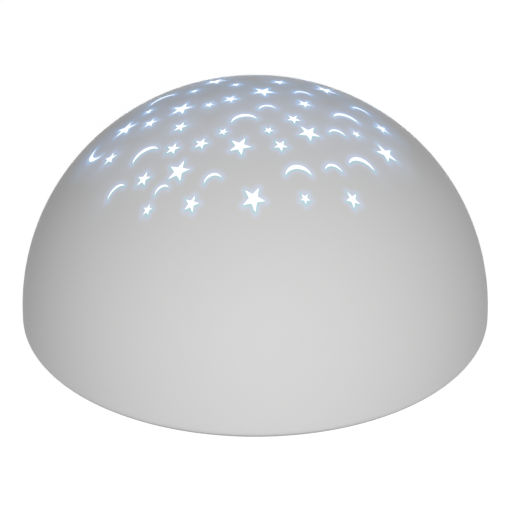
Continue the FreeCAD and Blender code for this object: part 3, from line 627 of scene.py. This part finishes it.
# copies of a prism at the points of its kind
def spreadNode(tree, points, prism, number):
    kind = compareNode(tree, "EQUAL", "kind", float(number))
    turn = combineNode(tree, Z=namedValue(tree, "turn"))
    reach = namedValue(tree, "reach")
    return addNode(tree, "GeometryNodeInstanceOnPoints", inputs={
        "Points": points, "Selection": kind, "Instance": prism, "Rotation": turn,
        "Scale": combineNode(tree, X=reach, Y=reach, Z=1.0)}).outputs[0]


# spins a profile round the upright axis
def latheNode(tree, profile, segments):
    count = addNode(tree, "GeometryNodeAttributeDomainSize", component="MESH", inputs={"Geometry": profile})
    columns = wholeNode(tree, "ADD", segments, 1)
    grid = addNode(tree, "GeometryNodeMeshGrid", inputs={
        "Vertices X": count.outputs["Point Count"], "Vertices Y": columns}).outputs[0]
    index = addNode(tree, "GeometryNodeInputIndex").outputs[0]
    ring = wholeNode(tree, "DIVIDE_FLOOR", index, columns)
    column = wholeNode(tree, "MODULO", index, columns)
    angle = mathNode(tree, "DIVIDE", mathNode(tree, "MULTIPLY", column, 2 * math.pi), segments)
    position = addNode(tree, "GeometryNodeInputPosition").outputs[0]
    place = addNode(tree, "GeometryNodeSampleIndex", data_type="FLOAT_VECTOR", inputs={
        "Geometry": profile, "Value": position, "Index": ring}).outputs[0]
    turned = addNode(tree, "ShaderNodeVectorRotate", rotation_type="Z_AXIS", inputs={
        "Vector": place, "Angle": angle}).outputs[0]
    inside = addNode(tree, "GeometryNodeSampleIndex", data_type="FLOAT", inputs={
        "Geometry": profile, "Value": namedValue(tree, "inside"), "Index": ring}).outputs[0]
    spun = addNode(tree, "GeometryNodeSetPosition", inputs={
        "Geometry": storeNode(tree, grid, "inside", inside), "Position": turned}).outputs[0]
    return weldNode(tree, spun)


# the shell with its posts and webs
def solidShell(tree, start, boss):
    shell = latheNode(tree, start["Geometry"], start["Segments"])
    shell = markNode(tree, shell, compareNode(tree, "GREATER_THAN", "inside", 0.5))
    posts = postNode(tree, boss, boss["radius"], boss["bottom"], boss["top"])
    union = addNode(tree, "GeometryNodeMeshBoolean", operation="UNION", solver="MANIFOLD")
    for form in (shell, markNode(tree, posts, 1.0), markNode(tree, webNode(tree, boss), 1.0)):
        tree.links.new(form, union.inputs["Mesh 2"])
    return union.outputs[0]


# one prism for each star and moon of the sky
def skyCutters(tree, start, size):
    layout = addNode(tree, "GeometryNodeObjectInfo", inputs={"Object": start["Layout"]}).outputs["Geometry"]
    outlines = [starOutline(tree, size)]
    outlines += [moonOutline(tree, size, name) for name in ("largeMoon", "mediumMoon", "smallMoon")]
    prisms = [prismNode(tree, outline, domeHigh.z) for outline in outlines]
    copies = [spreadNode(tree, layout, prism, number) for number, prism in enumerate(prisms)]
    return markNode(tree, realNode(tree, joinNode(tree, *copies)), 2.0)


# cutDistance is the way to the nearest cut wall, cutSide above 0 where that wall faces the front
def storeFringe(tree, pierced, isCut):
    walls = addNode(tree, "GeometryNodeSeparateGeometry", domain="FACE", inputs={
        "Geometry": pierced, "Selection": isCut}).outputs[0]
    gap = addNode(tree, "GeometryNodeProximity", target_element="FACES", inputs={
        "Target": walls}).outputs["Distance"]
    normal = addNode(tree, "GeometryNodeInputNormal").outputs[0]
    facing = addNode(tree, "GeometryNodeSampleNearestSurface", data_type="FLOAT_VECTOR", inputs={
        "Mesh": walls, "Value": normal}).outputs[0]
    side = mathNode(tree, "MULTIPLY", splitNode(tree, facing)["Y"], -1.0)
    return storeNode(tree, storeNode(tree, pierced, "cutDistance", gap), "cutSide", side)


def smoothNode(tree, geometry, angle):
    edge = addNode(tree, "GeometryNodeInputMeshEdgeAngle").outputs[0]
    sharp = mathNode(tree, "GREATER_THAN", edge, math.radians(angle))
    smooth = addNode(tree, "GeometryNodeSetShadeSmooth", domain="FACE", inputs={
        "Geometry": geometry}).outputs[0]
    return addNode(tree, "GeometryNodeSetShadeSmooth", domain="EDGE", inputs={
        "Geometry": smooth, "Selection": sharp, "Shade Smooth": False}).outputs[0]


def domeTree(size, pattern, boss):
    tree, start, end = newGeometryTree("piercedDome", {
        "Segments": int, "Layout": bpy.types.Object,
        "Skin": bpy.types.Material, "Wall": bpy.types.Material, "Inside": bpy.types.Material})
    pilots = postNode(tree, boss, boss["pilotRadius"], boss["pilotBottom"], boss["pilotTop"])
    pierce = addNode(tree, "GeometryNodeMeshBoolean", operation="DIFFERENCE", solver="MANIFOLD", inputs={
        "Mesh 1": solidShell(tree, start, boss), "Mesh 2": skyCutters(tree, start, pattern)})
    tree.links.new(markNode(tree, pilots, 1.0), pierce.inputs["Mesh 2"])
    pierced = pierce.outputs[0]

    isCut = compareNode(tree, "GREATER_THAN", "face", 1.5)
    isInside = compareNode(tree, "GREATER_THAN", "face", 0.5)
    for name, chosen in (("Skin", True), ("Inside", isInside), ("Wall", isCut)):
        pierced = addNode(tree, "GeometryNodeSetMaterial", inputs={
            "Geometry": pierced, "Selection": chosen, "Material": start[name]}).outputs[0]
    plug(tree, end[0], smoothNode(tree, storeFringe(tree, pierced, isCut), size["sharpAngle"]))
    return tree


def makeDome():
    outer, inner = domeProfile(dome)
    layout = skyLayout(sky)
    shell = pointMesh("domeShell", outer + inner, inside=[0.0] * len(outer) + [1.0] * len(inner))
    runTree(shell, domeTree(dome, sky, bosses), {
        "Segments": dome["segments"], "Layout": layout,
        "Skin": domeSkin, "Wall": cutWall, "Inside": domeInside})
    bpy.data.objects.remove(layout)
    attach(shell, "housing")
    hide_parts("dome_shell")
    return shell


domeShell = makeDome()
print("dome made:", len(domeShell.data.polygons), "faces")


# finishes of the pieces that keep their CAD shape

def dress(material, *names):
    for name in names:
        for place in nodes[name].material_slots:
            place.material = material


usualPlastic = {"scale": 900.0, "gloss": 0.4, "bump": 0.02}     # bump in millimetres
usualMetal = {"stretch": 8.0, "bump": 0.006}


def plasticFinish(name, look):
    look = {**usualPlastic, **look}
    material, tree, shader = newMaterial(name)
    grain = useGrain(tree, mouldedGrain, look, Scale=look["scale"])
    plug(tree, shader.inputs["Base Color"], mixColours(tree, grain["Cloud"], look["shade"], look["colour"]))
    plug(tree, shader.inputs["Roughness"], grain["Roughness"])
    shader.inputs["Specular IOR Level"].default_value = look["gloss"]
    addBump(tree, shader, grain["Height"], look["bump"] * mm)
    return material


def metalFinish(name, look):
    look = {**usualMetal, **look}
    material, tree, shader = newMaterial(name)
    grain = useGrain(tree, rolledMetal, look, Stretch=look["stretch"])
    plug(tree, shader.inputs["Base Color"], mixColours(tree, grain["Shade"], look["shade"], look["colour"]))
    plug(tree, shader.inputs["Roughness"], grain["Roughness"])
    shader.inputs["Metallic"].default_value = 1.0
    addBump(tree, shader, grain["Height"], look["bump"] * mm)
    return material


# 1 where a face looks up or down, else 0
def flatMask(tree, low=0.5, high=0.7):
    facing = addNode(tree, "ShaderNodeTexCoord").outputs["Normal"]
    return rampNode(tree, mathNode(tree, "ABSOLUTE", splitNode(tree, facing)["Z"]), low, high)


# 1 within the radius of a point seen along an axis, else 0
def discMask(tree, centre, radius, flat="Z", soft=0.08 * mm):
    parts = splitNode(tree, placeNode(tree))
    kept = {axis: mathNode(tree, "SUBTRACT", parts[axis], at)
            for axis, at in zip("XYZ", centre) if axis != flat}
    distance = addNode(tree, "ShaderNodeVectorMath", operation="LENGTH", inputs={
        0: combineNode(tree, **kept)}).outputs["Value"]
    return rampNode(tree, distance, radius - soft, radius + soft, 1.0, 0.0)


plastics = {
    "basePlastic": {
        "colour": (0.76, 0.76, 0.755, 1.0), "shade": (0.72, 0.72, 0.72, 1.0),
        "roughness": (0.5, 0.64), "gloss": 0.3, "bump": 0.03, "nodes": ("battery_door",)},
    "footRubber": {
        "colour": (0.115, 0.12, 0.125, 1.0), "shade": (0.085, 0.088, 0.092, 1.0),
        "roughness": (0.72, 0.88), "gloss": 0.25, "bump": 0.05, "scale": 1500.0,
        "nodes": ("rubber_foot_front", "rubber_foot_right", "rubber_foot_back", "rubber_foot_left")},
    "clipNylon": {
        "colour": (0.02, 0.02, 0.021, 1.0), "shade": (0.012, 0.012, 0.013, 1.0),
        "roughness": (0.4, 0.55), "nodes": ("door_screw_clip",)},
    "spacerNylon": {
        "colour": (0.74, 0.72, 0.62, 1.0), "shade": (0.68, 0.66, 0.56, 1.0),
        "roughness": (0.35, 0.5), "nodes": ("led_spacer",)},
    "knobPlastic": {
        "colour": (0.135, 0.15, 0.175, 1.0), "shade": (0.11, 0.122, 0.145, 1.0),
        "roughness": (0.45, 0.6), "bump": 0.04, "scale": 1400.0, "nodes": ("switch_knob",)},
    "sliderPlastic": {
        "colour": (0.022, 0.022, 0.024, 1.0), "shade": (0.014, 0.014, 0.015, 1.0),
        "roughness": (0.4, 0.55), "nodes": ("switch_slider",)},
}

wires = {     # colour, shade and node
    "redWire": ((0.48, 0.022, 0.018, 1.0), (0.40, 0.016, 0.014, 1.0), "wire_battery_positive"),
    "blackWire": ((0.014, 0.014, 0.015, 1.0), (0.01, 0.01, 0.011, 1.0), "wire_battery_negative"),
    "whiteWire": ((0.74, 0.74, 0.70, 1.0), (0.68, 0.68, 0.64, 1.0), "wire_switch_white"),
    "yellowWire": ((0.72, 0.42, 0.02, 1.0), (0.64, 0.36, 0.015, 1.0), "wire_switch_common"),
    "blueWire": ((0.02, 0.07, 0.38, 1.0), (0.015, 0.055, 0.31, 1.0), "wire_switch_colour"),
}

wireFinish = {"roughness": (0.28, 0.4), "gloss": 0.5}

for name, (colour, shade, node) in wires.items():
    plastics[name] = {**wireFinish, "colour": colour, "shade": shade, "nodes": (node,)}

metals = {
    "screwSteel": {
        "colour": (0.62, 0.63, 0.65, 1.0), "shade": (0.52, 0.53, 0.55, 1.0), "roughness": (0.26, 0.4),
        "nodes": ("base_screws", "door_screw", "board_screws", "deck_screws", "switch_screws")},
    "springNickel": {
        "colour": (0.70, 0.68, 0.65, 1.0), "shade": (0.58, 0.56, 0.53, 1.0), "roughness": (0.16, 0.28),
        "nodes": ("battery_spring_1", "battery_spring_2", "battery_spring_3")},
    "contactNickel": {
        "colour": (0.72, 0.70, 0.66, 1.0), "shade": (0.62, 0.60, 0.56, 1.0), "roughness": (0.14, 0.26),
        "nodes": ("contact_negative", "contact_positive", "contact_bridge_front", "contact_bridge_back")},
    "nutBrass": {
        "colour": (0.68, 0.46, 0.17, 1.0), "shade": (0.54, 0.35, 0.12, 1.0), "roughness": (0.22, 0.36),
        "nodes": ("door_screw_nut",)},
    "leadTin": {
        "colour": (0.68, 0.69, 0.70, 1.0), "shade": (0.55, 0.56, 0.57, 1.0), "roughness": (0.28, 0.45),
        "nodes": ("led_leads", "switch_terminals")},
    "canSteel": {
        "colour": (0.66, 0.67, 0.68, 1.0), "shade": (0.57, 0.58, 0.59, 1.0), "roughness": (0.18, 0.32),
        "stretch": 14.0, "nodes": ("switch_can",)},
}

for name, look in plastics.items():
    dress(plasticFinish(name, look), *look["nodes"])
for name, look in metals.items():
    dress(metalFinish(name, look), *look["nodes"])
print("plastic and metal finishes made")


# the base plate, with a band of painted shade on its flange under the dome's edge

base = {
    **plastics["basePlastic"],
    # painted shade: the darker colour of the flange band
    "line": (0.50, 0.50, 0.505, 1.0),
    "lineReach": 72.6 * mm,      # the band starts here, measured from the middle
}


def makeBaseFinish(look):
    material = plasticFinish("basePlate", look)
    tree = material.node_tree
    socket = tree.nodes["Principled BSDF"].inputs["Base Color"]
    plastic = socket.links[0].from_socket
    # painted shade: a darker colour on the flange outside this radius
    middle = discMask(tree, (0, 0, 0), look["lineReach"])
    plug(tree, socket, mixColours(tree, middle, look["line"], plastic))
    return material


dress(makeBaseFinish(base), "base_plate")


# the white deck under the dome, bright where the lamp's light falls on it

deck = {
    "colour": (0.80, 0.81, 0.82, 1.0),
    "shade": (0.76, 0.77, 0.78, 1.0),
    "light": (0.86, 0.95, 1.0, 1.0),
    "dim": (0.3, 0.33, 0.35, 1.0),
    "lightRadius": 30.0 * mm,
    "lightFade": 54.0 * mm,
    "glow": 0.7,
    "roughness": (0.3, 0.42),
}


def makeDeckFinish(look):
    material = plasticFinish("deckPlastic", look)
    tree = material.node_tree
    shader = tree.nodes["Principled BSDF"]
    fall = discMask(tree, (0, 0, 0), look["lightRadius"], soft=look["lightFade"])
    fall = mathNode(tree, "MULTIPLY", flatMask(tree), fall)
    plug(tree, shader.inputs["Emission Color"], mixColours(tree, fall, look["dim"], look["light"]))
    shader.inputs["Emission Strength"].default_value = look["glow"]
    return material


dress(makeDeckFinish(deck), "light_deck")


# battery cells: a two-tone film sleeve over a tinned can

cells = {
    "sleeve": (0.015, 0.105, 0.14, 1.0),
    "band": (0.62, 0.60, 0.55, 1.0),
    "can": (0.68, 0.68, 0.67, 1.0),
    "bandStart": 13.0 * mm,
    "bandFade": 0.1 * mm,
    "print": (0.5, 0.5, 0.5, 1.0),     # a slight unevenness of the print
    "printShare": 0.06,
    "grain": 1200.0,
    "roughness": (0.22, 0.3),
    "bump": 0.003 * mm,
    "sleeveOpening": 6.1 * mm,
    "axisHeight": 11.4 * mm,
    "places": {"aa_cell_1": (-15.0 * mm, 1), "aa_cell_2": (0.0, -1), "aa_cell_3": (15.0 * mm, 1)},
}


def makeCellFinish(look, name, across, way):
    material, tree, shader = newMaterial("cellSleeve" + name[-1])
    grain = useGrain(tree, mouldedGrain, look, Scale=look["grain"])
    along = mathNode(tree, "MULTIPLY", splitNode(tree, placeNode(tree))["Y"], float(way))
    start, fade = look["bandStart"], look["bandFade"]
    band = rampNode(tree, along, start - fade, start + fade)
    bare = discMask(tree, (across, 0, look["axisHeight"]), look["sleeveOpening"], flat="Y")
    film = mixColours(tree, band, look["sleeve"], look["band"])
    uneven = mathNode(tree, "MULTIPLY", grain["Cloud"], look["printShare"])
    film = mixColours(tree, uneven, film, look["print"])
    plug(tree, shader.inputs["Base Color"], mixColours(tree, bare, film, look["can"]))
    plug(tree, shader.inputs["Metallic"], bare)
    plug(tree, shader.inputs["Roughness"], grain["Roughness"])
    addBump(tree, shader, grain["Height"], look["bump"])
    return material


for name, (across, way) in cells["places"].items():
    dress(makeCellFinish(cells, name, across, way), name)


# circuit board: copper areas under a green lacquer on woven laminate

board = {
    "lacquer": (0.012, 0.11, 0.045, 1.0),
    "pour": (0.03, 0.19, 0.075, 1.0),
    "edge": (0.42, 0.38, 0.22, 1.0),
    "cellSize": 4.0 * mm,
    "cellSpread": 0.6,
    "pourEdge": (0.36, 0.4),
    "weave": 500.0,
    "threadShare": 0.3,
    "roughness": (0.24, 0.4),
    "bump": 0.03 * mm,
}


def makeBoardFinish(look):
    material, tree, shader = newMaterial("boardLaminate")
    fibre = useGroup(tree, fibreWeave, Scale=look["weave"])
    cell = addNode(tree, "ShaderNodeTexVoronoi", distance="CHEBYCHEV", inputs={
        "Vector": placeNode(tree), "Scale": 1.0 / look["cellSize"],
        "Randomness": look["cellSpread"]}).outputs["Distance"]
    pour = rampNode(tree, cell, *look["pourEdge"], 1.0, 0.0)
    top = mixColours(tree, pour, look["lacquer"], look["pour"])
    thread = mathNode(tree, "MULTIPLY", fibre["Thread"], look["threadShare"])
    top = mixColours(tree, thread, top, look["edge"])
    plug(tree, shader.inputs["Base Color"], mixColours(tree, flatMask(tree), look["edge"], top))
    plug(tree, shader.inputs["Roughness"], rampNode(tree, fibre["Thread"], 0.0, 1.0, *look["roughness"]))
    threads = mathNode(tree, "MULTIPLY", fibre["Height"], look["threadShare"])
    addBump(tree, shader, mathNode(tree, "ADD", pour, threads), look["bump"])
    return material


# the switch's insulator, of resin-bound paper

insulator = {
    "paper": (0.14, 0.055, 0.022, 1.0),
    "fibre": (0.24, 0.11, 0.045, 1.0),
    "weave": 900.0,
    "blur": 3.0,
    "roughness": (0.4, 0.6),
    "bump": 0.02 * mm,
}


def makeInsulatorFinish(look):
    material, tree, shader = newMaterial("phenolicPaper")
    fibre = useGroup(tree, fibreWeave, Scale=look["weave"], Blur=look["blur"])
    plug(tree, shader.inputs["Base Color"], mixColours(tree, fibre["Thread"], look["paper"], look["fibre"]))
    plug(tree, shader.inputs["Roughness"], rampNode(tree, fibre["Thread"], 0.0, 1.0, *look["roughness"]))
    addBump(tree, shader, fibre["Height"], look["bump"])
    return material


# parts on the board; disc is the centre and radius of the mark, or None for the whole flat face

blackResin = (0.014, 0.014, 0.015, 1.0)

boardParts = {
    "chipResin": {
        "colour": blackResin, "mark": (0.3, 0.3, 0.3, 1.0), "disc": ((8.4 * mm, 9.1 * mm, 0), 0.4 * mm),
        "roughness": (0.45, 0.6), "metallic": 0.0, "node": "control_chip"},
    "resistorCeramic": {
        "colour": (0.70, 0.70, 0.68, 1.0), "mark": blackResin, "disc": None,
        "roughness": (0.3, 0.45), "metallic": 0.0, "node": "chip_resistors"},
    "capacitorCan": {
        "colour": (0.66, 0.67, 0.69, 1.0), "mark": blackResin, "disc": ((-13.4 * mm, 6.0 * mm, 0), 1.5 * mm),
        "roughness": (0.2, 0.34), "metallic": 1.0, "node": "storage_capacitor"},
}
boardPartBump = 0.01 * mm


def makeMarkedFinish(name, look):
    material, tree, shader = newMaterial(name)
    grain = useGrain(tree, rolledMetal if look["metallic"] else mouldedGrain, look)
    share = flatMask(tree)
    if look["disc"]:
        share = mathNode(tree, "MULTIPLY", share, discMask(tree, *look["disc"]))
    plug(tree, shader.inputs["Base Color"], mixColours(tree, share, look["colour"], look["mark"]))
    plug(tree, shader.inputs["Roughness"], grain["Roughness"])
    if look["metallic"]:
        plug(tree, shader.inputs["Metallic"], mathNode(tree, "SUBTRACT", look["metallic"], share))
    addBump(tree, shader, grain["Height"], boardPartBump)
    return material


dress(makeBoardFinish(board), "circuit_board")
dress(makeInsulatorFinish(insulator), "switch_insulator")
for name, look in boardParts.items():
    dress(makeMarkedFinish(name, look), look["node"])


# the lamp: clear resin with its light on

lamp = {
    "resin": (0.90, 0.96, 1.0, 1.0),
    "core": (1.0, 1.0, 1.0, 1.0),
    "coreRadius": 1.4 * mm,
    "coreFade": 0.8 * mm,
    "glow": 0.6,
    "roughness": (0.04, 0.1),
    "refraction": 1.5,
}


def makeLampFinish(look):
    material, tree, shader = newMaterial("lampResin")
    grain = useGrain(tree, mouldedGrain, look)
    core = discMask(tree, (0, 0, 0), look["coreRadius"], soft=look["coreFade"])
    plug(tree, shader.inputs["Emission Color"], mixColours(tree, core, look["resin"], look["core"]))
    plug(tree, shader.inputs["Roughness"], grain["Roughness"])
    shader.inputs["Base Color"].default_value = look["resin"]
    shader.inputs["Emission Strength"].default_value = look["glow"]
    shader.inputs["Transmission Weight"].default_value = 1.0
    shader.inputs["IOR"].default_value = look["refraction"]
    return material


dress(makeLampFinish(lamp), "led_lamp")
print("battery, board and lamp finishes made")


# studio: a white floor that keeps the shadow, and plain soft light

studio = {
    "floorSize": 8.0,
    "floorGap": 0.05 * mm,
    "floorShadowShare": (0.30, 0.30, 0.30, 1.0),
    "floorWhite": 0.885,
    "ambient": (0.195, 0.195, 0.195, 1.0),
    "white": (1.0, 1.0, 1.0, 1.0),
    "lamps": {                # strength, elevation, turn towards the right, softness in degrees
        "front": (2.08, 20.0, 4.0, 30.0),
        "above": (0.08, 90.0, 0.0, 30.0),
        "back": (1.35, -20.0, 180.0, 30.0),
        "under": (0.45, -90.0, 0.0, 80.0),
    },
}


# 1 where the camera sees a thing, also in a reflection or through clear material
def seenNode(tree):
    path = addNode(tree, "ShaderNodeLightPath").outputs
    seen = mathNode(tree, "MAXIMUM", path["Is Camera Ray"], path["Is Glossy Ray"])
    return mathNode(tree, "MAXIMUM", seen, path["Is Transmission Ray"])


def makeFloor(look):
    half, level = look["floorSize"] / 2, -look["floorGap"]
    mesh = bpy.data.meshes.new("floor")
    corners = [(-half, -half, level), (half, -half, level), (half, half, level), (-half, half, level)]
    mesh.from_pydata(corners, [], [(0, 1, 2, 3)])
    floor = bpy.data.objects.new("floor", mesh)
    scene.collection.objects.link(floor)
    material, tree = emptyMaterial("studioFloor")
    shade = addNode(tree, "ShaderNodeBsdfDiffuse", inputs={"Color": look["floorShadowShare"]}).outputs[0]
    white = addNode(tree, "ShaderNodeEmission", inputs={"Strength": look["floorWhite"]}).outputs[0]
    bright = addNode(tree, "ShaderNodeAddShader", inputs={0: shade, 1: white}).outputs[0]
    clear = addNode(tree, "ShaderNodeBsdfTransparent").outputs[0]
    back = addNode(tree, "ShaderNodeNewGeometry").outputs["Backfacing"]
    shown = mathNode(tree, "MULTIPLY", seenNode(tree), mathNode(tree, "SUBTRACT", 1.0, back))
    both = addNode(tree, "ShaderNodeMixShader", inputs={0: shown, 1: clear, 2: bright}).outputs[0]
    addNode(tree, "ShaderNodeOutputMaterial", inputs={"Surface": both})
    mesh.materials.append(material)


def makeWorld(look):
    world = bpy.data.worlds.new("studio")
    scene.world = world
    world.use_nodes = True
    tree = world.node_tree
    tree.nodes.clear()
    colour = mixColours(tree, seenNode(tree), look["ambient"], look["white"])
    light = addNode(tree, "ShaderNodeBackground", inputs={"Color": colour}).outputs[0]
    addNode(tree, "ShaderNodeOutputWorld", inputs={"Surface": light})


def makeLamps(look):
    for name, (strength, elevation, turn, softness) in look["lamps"].items():
        data = bpy.data.lights.new(name, "SUN")
        data.energy = strength
        data.angle = math.radians(softness)
        sun = bpy.data.objects.new(name, data)
        sun.rotation_euler = (math.radians(90 - elevation), 0, math.radians(turn))
        scene.collection.objects.link(sun)


makeFloor(studio)
makeWorld(studio)
makeLamps(studio)
scene.view_settings.view_transform = "Standard"
print("studio lit")
